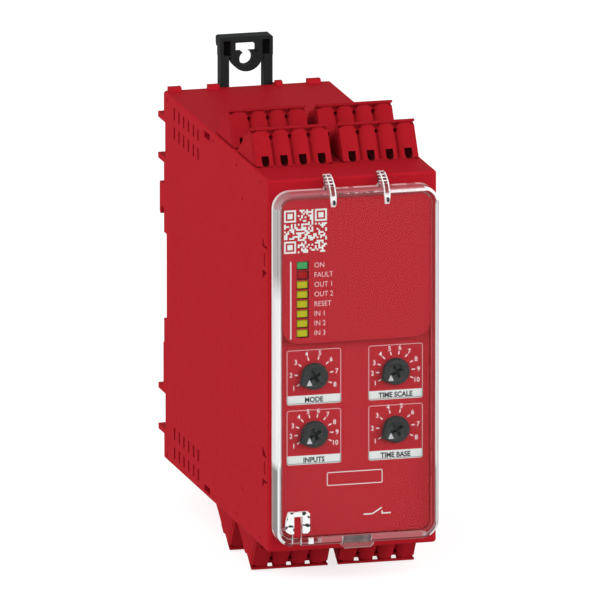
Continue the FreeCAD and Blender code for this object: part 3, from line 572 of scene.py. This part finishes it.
for n in nodes:
    if n == "housing_base":
        dress(n, housing_red)
    elif n == "front_panel":
        dress(n, panel_red)
    elif n.startswith("plug_"):
        dress(n, plug_red)
    elif n.startswith("clamps_"):
        dress(n, steel)
    elif n.startswith("header_pins"):
        dress(n, tin)
    elif n.startswith("header_") or n.startswith("board_connector") or n == "link_strips":
        dress(n, header_mat)
    elif n == "clear_cover":
        dress(n, clear)
    elif n == "rail_latch":
        dress(n, black)
    elif n.startswith("rotary_switch"):
        dress(n, switch_mat)
    elif n.startswith("selector_knob"):
        dress(n, knob_mat)
    elif n == "led_window_power":
        dress(n, win_green)
    elif n == "led_window_fault":
        dress(n, win_red)
    elif n == "led_windows_status":
        dress(n, win_yellow)
    elif n == "led_chips":
        dress(n, led_mat)
    elif "board" in n:
        dress(n, pcb)
    elif n.startswith("relay_"):
        dress(n, relay_mat)
    elif n == "transformer":
        dress(n, ferrite)
    elif n == "capacitors":
        dress(n, cap_mat)
    elif n == "fuse":
        dress(n, fuse_mat)
    else:
        dress(n, chip_mat)



def dress_cover():
    """Each part of the cover's moulding gets its own painted highlights, reflections and shade."""
    o = nodes["clear_cover"]
    kinds = [clear, side_wall, side_chamfer, far_chamfer, rear_edge, edge_clear, top_wall, top_chamfer, low_chamfer, corner_wall,
             eyelet_painted_white, arm_edge, recess, tab_edge, tab_face, top_inner, corner_chamfer, inner_right]
    o.data.materials.clear()
    for k in kinds:
        o.data.materials.append(k)
    look = {k: i for i, k in enumerate(kinds)}
    for p in o.data.polygons:
        x, z = p.center.x / MM, p.center.z / MM
        out = -p.center.y / MM - D
        n = p.normal
        k = clear
        sheet = abs(n.y) > 0.99 and (abs(out - 5.4) < 0.02 or abs(out - 4.1) < 0.02)
        arm = min(abs(x - ARMS[0]), abs(x - ARMS[1])) < ARM_HALF and z > 42.4
        if arm and not sheet and not (abs(n.z) > 0.99 and (abs(z - 46.5) < 0.05 or abs(z - 45.0) < 0.05)) and not (n.z > 0.6 and n.y < -0.6 and 45.7 < z < 46.5):
            k = arm_edge
        elif x < -12.95 and z < -37.2 and x > -19.6 and not sheet and (out > 5.42 or abs(n.y) < 0.5 and out > 4.0):
            k = eyelet_painted_white
        elif -13.35 < x < -11.95 and z < -44.2 and not sheet and (abs(n.x) > 0.99 or out > 4.8):
            k = rear_edge
        elif -4.25 < x < 3.75 and -47.05 < z < -44.15 and 4.7 < out < 5.45 and not (sheet and z > -44.3):
            k = recess if abs(n.x) < 0.9 else rear_edge
        elif z < -45.5 and -4.8 < x < 4.6 and 3.2 < out < 4.75 and not sheet:
            k = tab_face if abs(n.y) > 0.9 else tab_edge
        elif sheet:
            k = clear
        elif abs(n.y) > 0.99 and out < 0.5:
            k = rear_edge if x < -19.5 and z < 43.0 else edge_clear
        elif abs(n.y) > 0.3 and out > 4.5:
            if n.x > 0.1 and n.z > 0.1:
                k = rear_edge
            elif n.x < -0.1 and n.z > 0.1:
                k = corner_chamfer
            elif abs(n.x) > abs(n.z) * 0.6:
                k = side_chamfer if n.x < 0 else far_chamfer
            else:
                k = top_chamfer if n.z > 0 else low_chamfer
        elif abs(n.y) < 0.3 and math.hypot(max(abs(x) - 17.15, 0), max(abs(z + 0.1) - 42.1, 0)) > 3.8:
            if abs(n.z) < 0.1:
                k = side_wall
            elif abs(n.x) > 0.1:
                k = corner_wall
            else:
                k = top_wall
        elif n.z < -0.9 and z > 44.0 and 0.5 < out < 4.2:
            k = top_inner
        elif x > 19.4 and 0.5 < out < 4.2 and z < 43.5:
            k = inner_right
        elif z < -43.5 and 0.5 < out < 4.2 and x > -10.0 and n.z > 0.3:
            k = inner_right
        else:
            k = edge_clear
        p.material_index = look[k]


dress_cover()

# painted shade for the walls of the joints round the light guides
joint_dark = plastic("joint_dark_red", (0.055, 0.003, 0.004), (0.05, 0.0026, 0.0035), (0.06, 0.0034, 0.0045), rough=(0.6, 0.7),
                     edge=0, spec=0.02)


def paint_joint_shade():
    """The walls of the narrow joints round the light guides get a painted shade."""
    o = nodes["front_panel"]
    o.data.materials.append(joint_dark)
    for p in o.data.polygons:
        x, z = p.center.x / MM, p.center.z / MM
        if -16.1 < x < -12.6 and LED_Z[-1] - 1.4 < z < LED_Z[0] + 1.4 and abs(p.normal.y) < 0.5:
            p.material_index = 1


paint_joint_shade()



def paint_opening_shade():
    """The test openings at the feet of the barrels get a painted shade."""
    for name, o in nodes.items():
        if not name.startswith("plug_"):
            continue
        vs = [v.co for v in o.data.vertices]
        mid = (min(v.x for v in vs) + max(v.x for v in vs)) / 2 / MM
        front = min(v.y for v in vs) / MM
        o.data.materials.append(opening_shade)
        for p in o.data.polygons:
            x, y, z = p.center.x / MM, p.center.y / MM, abs(p.center.z) / MM
            pole = min(abs(x - mid - (i - 1.5) * PITCH) for i in range(4))
            if pole < 1.0 and 49.1 < z < 51.85 and y < front + 3.3 and (abs(p.normal.y) < 0.05 or p.normal.y < -0.99):
                p.material_index = 1


# painted shade for the test openings
opening_shade = plastic("opening_shade_red", (0.095, 0.0075, 0.0080), (0.088, 0.0068, 0.0072), (0.102, 0.0082, 0.0088), rough=(0.6, 0.7),
                        edge=0, spec=0.02)
paint_opening_shade()

# ------------------------------------------------------------------ print
PRINT_T = 0.02      # ink thickness, mm


class Print:
    """Collects flat shapes on a plane facing -Y and turns them into one thin raised mesh."""

    def __init__(self, p):
        self.y0 = -(D + p) * MM
        self.y1 = -(D + p + PRINT_T) * MM
        self.bm = bmesh.new()

    def poly(self, pts):
        """pts: x, z in mm, counter-clockwise seen from the front."""
        n = len(pts)
        f = [self.bm.verts.new((x * MM, self.y1, z * MM)) for x, z in pts]
        b = [self.bm.verts.new((x * MM, self.y0, z * MM)) for x, z in pts]
        self.bm.faces.new(f)
        for i in range(n):
            j = (i + 1) % n
            self.bm.faces.new((f[j], f[i], b[i], b[j]))

    def ring(self, outer, inner):
        """A closed band between two outlines with the same number of points."""
        n = len(outer)
        vo = [self.bm.verts.new((x * MM, self.y1, z * MM)) for x, z in outer]
        vi = [self.bm.verts.new((x * MM, self.y1, z * MM)) for x, z in inner]
        bo = [self.bm.verts.new((x * MM, self.y0, z * MM)) for x, z in outer]
        bi = [self.bm.verts.new((x * MM, self.y0, z * MM)) for x, z in inner]
        for i in range(n):
            j = (i + 1) % n
            self.bm.faces.new((vo[i], vo[j], vi[j], vi[i]))
            self.bm.faces.new((vo[j], vo[i], bo[i], bo[j]))
            self.bm.faces.new((vi[i], vi[j], bi[j], bi[i]))

    def rect(self, x0, x1, z0, z1):
        self.poly([(x0, z0), (x1, z0), (x1, z1), (x0, z1)])

    def band(self, x0, z0, x1, z1, w):
        dx, dz = x1 - x0, z1 - z0
        d = math.hypot(dx, dz)
        nx, nz = -dz / d * w / 2, dx / d * w / 2
        self.poly([(x0 - nx, z0 - nz), (x1 - nx, z1 - nz), (x1 + nx, z1 + nz), (x0 + nx, z0 + nz)])

    def text(self, s, x, z, cap, align="LEFT", width=None, weight=0.0, squeeze=None, turn=0.0):
        """A word with its capitals cap high, its base line at z, as a thin mesh."""
        cu = bpy.data.curves.new("t", "FONT")
        cu.body = s
        cu.size = 1.0
        cu.resolution_u = 3
        cu.offset = weight
        ob = bpy.data.objects.new("t", cu)
        scene.collection.objects.link(ob)
        bpy.context.view_layer.update()
        dg = bpy.context.evaluated_depsgraph_get()
        me = bpy.data.meshes.new_from_object(ob.evaluated_get(dg))
        xs = [v.co.x for v in me.vertices]
        x_lo, x_hi = min(xs), max(xs)
        k = cap / CAP_UNIT
        kx = k if width is None else width / (x_hi - x_lo)
        if squeeze is not None:
            kx = k * squeeze
        wide = (x_hi - x_lo) * kx
        off = {"LEFT": 0.0, "CENTER": -wide / 2, "RIGHT": -wide}[align]
        c, sn = math.cos(turn), math.sin(turn)
        vs = []
        for v in me.vertices:
            lx, lz = (v.co.x - x_lo) * kx + off, v.co.y * k
            vs.append(self.bm.verts.new(((x + lx * c - lz * sn) * MM, self.y1, (z + lx * sn + lz * c) * MM)))
        for pl in me.polygons:
            try:
                self.bm.faces.new([vs[i] for i in pl.vertices])
            except ValueError:
                pass
        bpy.data.objects.remove(ob)
        bpy.data.curves.remove(cu)
        bpy.data.meshes.remove(me)

    def make(self, name, mat, body="root"):
        bmesh.ops.recalc_face_normals(self.bm, faces=self.bm.faces)
        me = bpy.data.meshes.new(name)
        self.bm.normal_update()
        # front faces look along -Y
        for f in self.bm.faces:
            if abs(f.normal.y) > 0.9 and f.normal.y > 0:
                f.normal_flip()
        self.bm.to_mesh(me)
        self.bm.free()
        ob = bpy.data.objects.new(name, me)
        me.materials.append(mat)
        scene.collection.objects.link(ob)
        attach(ob, body)
        return ob


def cap_unit():
    cu = bpy.data.curves.new("t", "FONT")
    cu.body = "H"
    cu.size = 1.0
    ob = bpy.data.objects.new("t", cu)
    scene.collection.objects.link(ob)
    bpy.context.view_layer.update()
    me = bpy.data.meshes.new_from_object(ob.evaluated_get(bpy.context.evaluated_depsgraph_get()))
    h = max(v.co.y for v in me.vertices)
    bpy.data.objects.remove(ob)
    bpy.data.curves.remove(cu)
    bpy.data.meshes.remove(me)
    return h


CAP_UNIT = cap_unit()


def rounded(x0, x1, z0, z1, r_low, r_high, n=5):
    pts = []
    for cx, cz, r, a0 in ((x1 - r_low, z0 + r_low, r_low, -90), (x1 - r_high, z1 - r_high, r_high, 0),
                          (x0 + r_high, z1 - r_high, r_high, 90), (x0 + r_low, z0 + r_low, r_low, 180)):
        for i in range(n + 1):
            a = math.radians(a0 + 90.0 * i / n)
            pts.append((cx + r * math.cos(a), cz + r * math.sin(a)))
    return pts


# upper plate: a rule, the names of the windows and a made-up square pattern
pl = Print(PLATE_P)
lb = Print(PLATE_P)
pl.rect(-17.66, -17.36, 7.9, 28.4)
for z, word in zip(LED_Z, ("ON", "FAULT", "OUT 1", "OUT 2", "RESET", "IN 1", "IN 2", "IN 3")):
    lb.text(word, -11.2, z - 0.66, 1.32, squeeze=0.9, weight=-0.004)
cell = 11.4 / 25
gx, gz = -19.3, 42.0 - 11.4


def cell_box(i, j, w=1, h=1):
    pl.rect(gx + i * cell, gx + (i + w) * cell, gz + j * cell, gz + (j + h) * cell)


for fi, fj in ((0, 0), (0, 18), (18, 18)):
    x0, z0 = gx + fi * cell, gz + fj * cell
    pl.ring([(x0, z0), (x0 + 7 * cell, z0), (x0 + 7 * cell, z0 + 7 * cell), (x0, z0 + 7 * cell)],
            [(x0 + cell, z0 + cell), (x0 + 6 * cell, z0 + cell), (x0 + 6 * cell, z0 + 6 * cell), (x0 + cell, z0 + 6 * cell)])
    cell_box(fi + 2, fj + 2, 3, 3)
state = 20731
for j in range(25):
    for i in range(25):
        state = (state * 1103515245 + 12345) % 2147483648
        corner = (i < 8 and j < 8) or (i < 8 and j > 16) or (i > 16 and j > 16)
        if not corner and (state >> 16) % 100 < 46:
            cell_box(i, j)
pl.make("print_upper_plate", print_white)
lb.make("print_window_names", print_label)

# dial field: frames, ticks, numerals
fr = Print(FIELD_P)
marks = Print(FIELD_P)
strips = Print(FIELD_P)
words = Print(FIELD_P + PRINT_T)
ROWS = {1: (4.5, -9.95), 2: (4.5, -9.95), 3: (-11.42, -25.87), 4: (-11.42, -25.87)}
CAPTIONS = {1: "MODE", 2: "TIME SCALE", 3: "INPUTS", 4: "TIME BASE"}
for k, (kx, kz) in KNOBS.items():
    x0, x1 = (-18.1, -3.65) if kx < 0 else (3.65, 18.1)
    z1, z0 = ROWS[k]
    zs = z0 + 2.4
    out = rounded(x0, x1, z0 + 0.2, z1, 0.65, 0.65)
    w = 0.17
    inn = rounded(x0 + w, x1 - w, z0 + 0.2 + w, z1 - w, 0.65 - w, 0.65 - w)
    fr.ring(out, inn)
    strips.poly(rounded(x0 - 0.05, x1 + 0.05, z0, zs, 0.7, 0.12))
    n = POSITIONS[k]
    for i in range(n):
        a = math.radians(REST_DEG - SWEEP * i / (n - 1))
        c, s = math.cos(a), math.sin(a)
        marks.band(kx + 4.3 * c, kz + 4.3 * s, kx + 5.2 * c, kz + 5.2 * s, 0.31)
        r = 6.15 if i < 9 else 6.35
        marks.text(str(i + 1), kx + r * c, kz + r * s - 0.6, 1.2, "CENTER", squeeze=0.98, weight=0.014)
    words.text(CAPTIONS[k], kx, z0 + 0.58, 1.28, "CENTER", squeeze=0.92, weight=0.034)
fr.make("print_frames", print_frame)
marks.make("print_dials", print_pale)
strips.make("print_caption_strips", print_white)
words.make("print_captions", print_dark)

# lower field: a blank place for the user's own mark and a generic contact symbol
lf = Print(FIELD_P)
out = rounded(-7.4, 7.4, -31.9, -28.3, 0.4, 0.4)
lf.ring(out, rounded(-7.2, 7.2, -31.7, -28.5, 0.2, 0.2))
for dz in (0.0,):
    x, z = 6.0, -40.0
    lf.band(x - 3.6, z, x - 1.3, z, 0.34)
    lf.band(x - 1.3, z, x + 1.2, z + 1.5, 0.34)
    lf.band(x + 1.3, z, x + 3.6, z, 0.34)
    lf.band(x + 1.3, z - 0.17, x + 1.3, z + 0.7, 0.34)
lf.make("print_lower_field", print_white)

# pointers on the knobs
for k, (kx, kz) in KNOBS.items():
    t = Print(KNOB_P)
    a = math.radians(228.0)
    cx, cz = kx + 2.36 * math.cos(a), kz + 2.36 * math.sin(a)
    t.poly([(cx - 0.74, cz - 0.54), (cx + 0.74, cz - 0.54), (cx, cz + 1.09)])
    t.make("pointer_%d" % k, pointer_grey, "knob_%d" % k)


# ------------------------------------------------------------------ floor and light
def floor():
    me = bpy.data.meshes.new("floor")
    n, r = 96, 3.0
    z = cad_lo.z - 0.0004
    vs = [(r * math.cos(2 * math.pi * i / n), r * math.sin(2 * math.pi * i / n), z) for i in range(n)]
    me.from_pydata(vs, [], [tuple(range(n))])
    ob = bpy.data.objects.new("floor", me)
    scene.collection.objects.link(ob)
    m = Mat("floor_pale")
    m.set(Base_Color=m.ramp(m.noise(120.0, 2.0), [(0.3, (0.44, 0.44, 0.44)), (0.7, (0.46, 0.46, 0.46))]), Roughness=0.9,
          Specular_IOR_Level=0.0, Emission_Color=(1.0, 1.0, 1.0), Emission_Strength=0.75)
    me.materials.append(m.m)
    ob.visible_glossy = False
    ob.visible_diffuse = False
    return ob


floor()


def area(name, loc, aim, size, power, colour=(1, 1, 1), size_y=None):
    li = bpy.data.lights.new(name, "AREA")
    li.shape = "RECTANGLE"
    li.size = size
    li.size_y = size_y or size
    li.energy = power
    li.color = colour
    ob = bpy.data.objects.new(name, li)
    ob.location = loc
    ob.rotation_mode = "QUATERNION"
    ob.rotation_quaternion = (Vector(aim) - Vector(loc)).to_track_quat("-Z", "Y")
    ob.visible_camera = False
    scene.collection.objects.link(ob)
    return ob


C = (0.0, -0.055, 0.0)
area("key_front_left", (-0.9, -1.1, 0.75), C, 1.1, 8.5)
area("fill_front_right", (1.1, -1.0, 0.45), C, 1.1, 17.5)
area("top", (0.0, -0.1, 1.3), C, 1.4, 0.4)
area("left", (-1.3, 0.1, 0.35), C, 1.0, 10.0)

world = bpy.data.worlds.new("studio")
scene.world = world
world.use_nodes = True
wt = world.node_tree
bg = wt.nodes["Background"]
tc = wt.nodes.new("ShaderNodeTexCoord")
sep = wt.nodes.new("ShaderNodeSeparateXYZ")
rmp = wt.nodes.new("ShaderNodeValToRGB")
mr = wt.nodes.new("ShaderNodeMapRange")
mr.inputs["From Min"].default_value = -1.0
wt.links.new(tc.outputs["Generated"], sep.inputs[0])
wt.links.new(sep.outputs["Z"], mr.inputs["Value"])
wt.links.new(mr.outputs["Result"], rmp.inputs["Fac"])
els = rmp.color_ramp.elements
for _ in range(3):
    els.new(0.5)
for el, (p, c) in zip(els, ((0.0, 0.62), (0.22, 0.56), (0.34, 0.40), (0.47, 0.43), (0.56, 0.455))):
    el.position = p
    el.color = (c, c, c, 1)
seen = wt.nodes.new("ShaderNodeLightPath")
white = wt.nodes.new("ShaderNodeBackground")
blend = wt.nodes.new("ShaderNodeMixShader")
wt.links.new(rmp.outputs["Color"], bg.inputs["Color"])
wt.links.new(seen.outputs["Is Camera Ray"], blend.inputs[0])
wt.links.new(bg.outputs[0], blend.inputs[1])
wt.links.new(white.outputs[0], blend.inputs[2])
wt.links.new(blend.outputs[0], wt.nodes["World Output"].inputs["Surface"])
white.inputs["Color"].default_value = (1, 1, 1, 1)
bg.inputs["Strength"].default_value = 1.0
